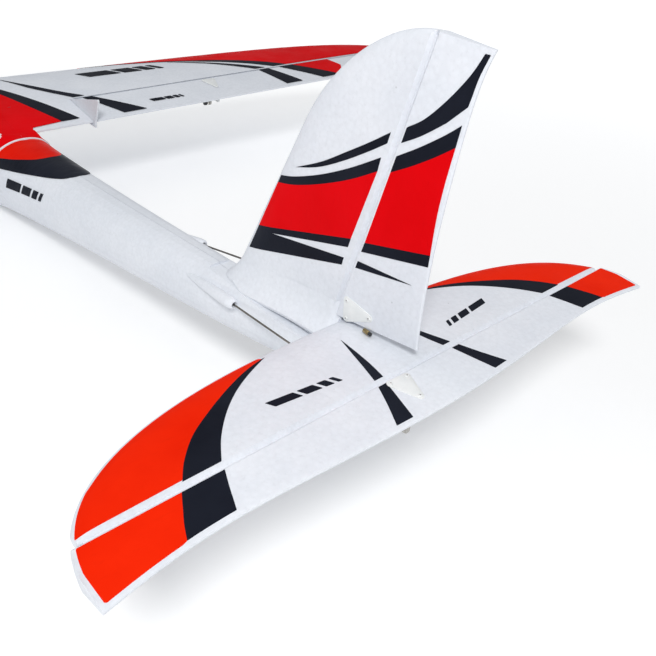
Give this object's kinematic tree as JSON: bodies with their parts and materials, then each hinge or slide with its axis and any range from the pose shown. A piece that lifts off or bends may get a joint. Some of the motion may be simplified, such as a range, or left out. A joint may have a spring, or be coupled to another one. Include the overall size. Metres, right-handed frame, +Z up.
{
  "type": "rc sailplane",
  "caption": "Foam radio-controlled sailplane with folding propeller, working elevator, rudder and ailerons driven by servos and pushrods, and a lift-off canopy.",
  "frame": {"origin": "on the ground under the balance point, in the plane of symmetry", "axes": "+Z up, +Y towards the tail, +X towards the port (left) wing tip, nose towards -Y; wings level"},
  "size_m": [1.1178, 0.844, 0.2447],
  "materials": {
    "white_foam": null,
    "white_nylon": "moulded nylon, slightly warm white",
    "black_nylon": "moulded black nylon",
    "steel_wire": "dark drawn wire",
    "steel": "zinc-plated steel",
    "clear_tube": "milky extruded tube",
    "carbon": "carbon-filled, satin black",
    "aluminium": "turned and anodised",
    "copper_stator": "enamelled copper windings",
    "plywood": "birch plywood",
    "motor_steel": "turned steel flux ring, plated",
    "servo_case": "moulded black plastic",
    "battery_wrap": "aluminium-laminate cells in dark heat-shrink wrap",
    "strap": "woven hook-and-loop strap",
    "magnet": "nickel-plated"
  },
  "bodies": {
    "fuselage": {"fuselage_left_shell": "white_foam", "fuselage_right_shell": "white_foam", "fuselage_magnet": "magnet", "motor_mount": "plywood", "motor_stator": "copper_stator", "speed_controller": "servo_case", "flight_battery": "battery_wrap", "battery_strap": "strap", "battery_tray": "plywood", "receiver": "servo_case", "servo_tray": "plywood", "elevator_servo": "servo_case", "rudder_servo": "servo_case", "elevator_guide_tube": "clear_tube", "rudder_guide_tube": "clear_tube", "wing_panel_left": "white_foam", "wing_panel_right": "white_foam", "wing_joiner_tube": "carbon", "wing_bolt_left": "black_nylon", "wing_bolt_right": "black_nylon", "aileron_servo_left": "servo_case", "aileron_servo_right": "servo_case", "wing_fence_left": "white_foam", "wing_fence_right": "white_foam", "vertical_fin": "white_foam", "stabilizer": "white_foam", "tail_screw_front": "steel", "tail_screw_rear": "steel"},
    "elevator": {"elevator": "white_foam", "elevator_horn": "white_nylon", "elevator_horn_backplate": "white_nylon"},
    "elevator_pushrod": {"elevator_pushrod": "steel_wire"},
    "elevator_servo_arm": {"elevator_servo_arm": "white_nylon"},
    "rudder": {"rudder": "white_foam", "rudder_horn": "white_nylon", "rudder_horn_backplate": "white_nylon"},
    "rudder_pushrod": {"rudder_pushrod": "steel_wire"},
    "rudder_servo_arm": {"rudder_servo_arm": "white_nylon"},
    "aileron_left": {"aileron_left": "white_foam", "aileron_horn_left": "white_nylon", "aileron_horn_backplate_left": "white_nylon"},
    "aileron_right": {"aileron_right": "white_foam", "aileron_horn_right": "white_nylon", "aileron_horn_backplate_right": "white_nylon"},
    "aileron_pushrod_left": {"aileron_pushrod_left": "steel_wire"},
    "aileron_pushrod_right": {"aileron_pushrod_right": "steel_wire"},
    "aileron_servo_arm_left": {"aileron_servo_arm_left": "white_nylon"},
    "aileron_servo_arm_right": {"aileron_servo_arm_right": "white_nylon"},
    "propeller": {"motor_bell": "motor_steel", "propeller_hub": "aluminium", "spinner": "aluminium", "blade_pin_left": "steel", "blade_pin_right": "steel"},
    "blade_left": {"propeller_blade_left": "carbon"},
    "blade_right": {"propeller_blade_right": "carbon"},
    "canopy": {"canopy_hatch": "white_foam", "hatch_magnet": "magnet"}
  },
  "joints": [
    {"name": "elevator_hinge", "type": "hinge", "parent": "fuselage", "child": "elevator", "pos_m": [0, 0.5393, 0.0906], "axis": [1, 0, 0], "range_deg": [-20, 20]},
    {"name": "elevator_pushrod_slide", "type": "slide", "parent": "fuselage", "child": "elevator_pushrod", "axis": [0.0538, 0.9971, 0.0528], "range_m": [-0.00428, 0.00428]},
    {"name": "elevator_servo_shaft", "type": "hinge", "parent": "fuselage", "child": "elevator_servo_arm", "pos_m": [-0.002, 0.068, 0.0492], "axis": [0, 0, 1], "range_deg": [-21, 21]},
    {"name": "rudder_hinge", "type": "hinge", "parent": "fuselage", "child": "rudder", "pos_m": [0, 0.483, 0.0933], "axis": [0, 0.2277, 0.9737], "range_deg": [-22, 22]},
    {"name": "rudder_pushrod_slide", "type": "slide", "parent": "fuselage", "child": "rudder_pushrod", "axis": [-0.0157, 0.9841, 0.1771], "range_m": [-0.00576, 0.00576]},
    {"name": "rudder_servo_shaft", "type": "hinge", "parent": "fuselage", "child": "rudder_servo_arm", "pos_m": [0.0035, 0.113, 0.0492], "axis": [0, 0, 1], "range_deg": [-25, 25]},
    {"name": "aileron_hinge_left", "type": "hinge", "parent": "fuselage", "child": "aileron_left", "pos_m": [0.0725, 0.0595, 0.08024], "axis": [0.9996, 0, 0.0298], "range_deg": [-20, 20]},
    {"name": "aileron_hinge_right", "type": "hinge", "parent": "fuselage", "child": "aileron_right", "pos_m": [-0.0725, 0.0595, 0.08024], "axis": [0.9996, 0, -0.0298], "range_deg": [-20.5, 20.5]},
    {"name": "aileron_pushrod_slide_left", "type": "slide", "parent": "fuselage", "child": "aileron_pushrod_left", "axis": [0, 1, 0], "range_m": [-0.00427, 0.00427]},
    {"name": "aileron_pushrod_slide_right", "type": "slide", "parent": "fuselage", "child": "aileron_pushrod_right", "axis": [0, 1, 0], "range_m": [-0.00427, 0.00427]},
    {"name": "aileron_servo_shaft_left", "type": "hinge", "parent": "fuselage", "child": "aileron_servo_arm_left", "pos_m": [0.228, 0.0429, 0.0841], "axis": [0.9996, 0, 0.0298], "range_deg": [-20.5, 20.5]},
    {"name": "aileron_servo_shaft_right", "type": "hinge", "parent": "fuselage", "child": "aileron_servo_arm_right", "pos_m": [-0.228, 0.0429, 0.0841], "axis": [0.9996, 0, -0.0298], "range_deg": [-20.5, 20.5]},
    {"name": "propeller_spin", "type": "hinge", "parent": "fuselage", "child": "propeller", "pos_m": [0, -0.202, 0.04], "axis": [0, 1, 0], "continuous": true},
    {"name": "blade_fold_left", "type": "hinge", "parent": "propeller", "child": "blade_left", "pos_m": [0.015, -0.2425, 0.04], "axis": [0, 0, 1], "range_deg": [0, 57.5]},
    {"name": "blade_fold_right", "type": "hinge", "parent": "propeller", "child": "blade_right", "pos_m": [-0.015, -0.2425, 0.04], "axis": [0, 0, -1], "range_deg": [0, 58]},
    {"name": "canopy_lift", "type": "slide", "parent": "fuselage", "child": "canopy", "axis": [0, 0, 1], "range_m": [0, 0.04]}
  ],
  "couplings": [
    {"joint": "elevator_pushrod_slide", "follows": "elevator_hinge", "m_per_rad": 0.012034},
    {"joint": "elevator_servo_shaft", "follows": "elevator_hinge", "ratio": 1},
    {"joint": "rudder_pushrod_slide", "follows": "rudder_hinge", "m_per_rad": -0.014708},
    {"joint": "rudder_servo_shaft", "follows": "rudder_hinge", "ratio": 1.0721},
    {"joint": "aileron_hinge_right", "follows": "aileron_hinge_left", "ratio": -1},
    {"joint": "aileron_pushrod_slide_left", "follows": "aileron_hinge_left", "m_per_rad": 0.012},
    {"joint": "aileron_pushrod_slide_right", "follows": "aileron_hinge_left", "m_per_rad": -0.012},
    {"joint": "aileron_servo_shaft_left", "follows": "aileron_hinge_left", "ratio": 1},
    {"joint": "aileron_servo_shaft_right", "follows": "aileron_hinge_left", "ratio": -1},
    {"joint": "blade_fold_right", "follows": "blade_fold_left", "ratio": 1}
  ]
}
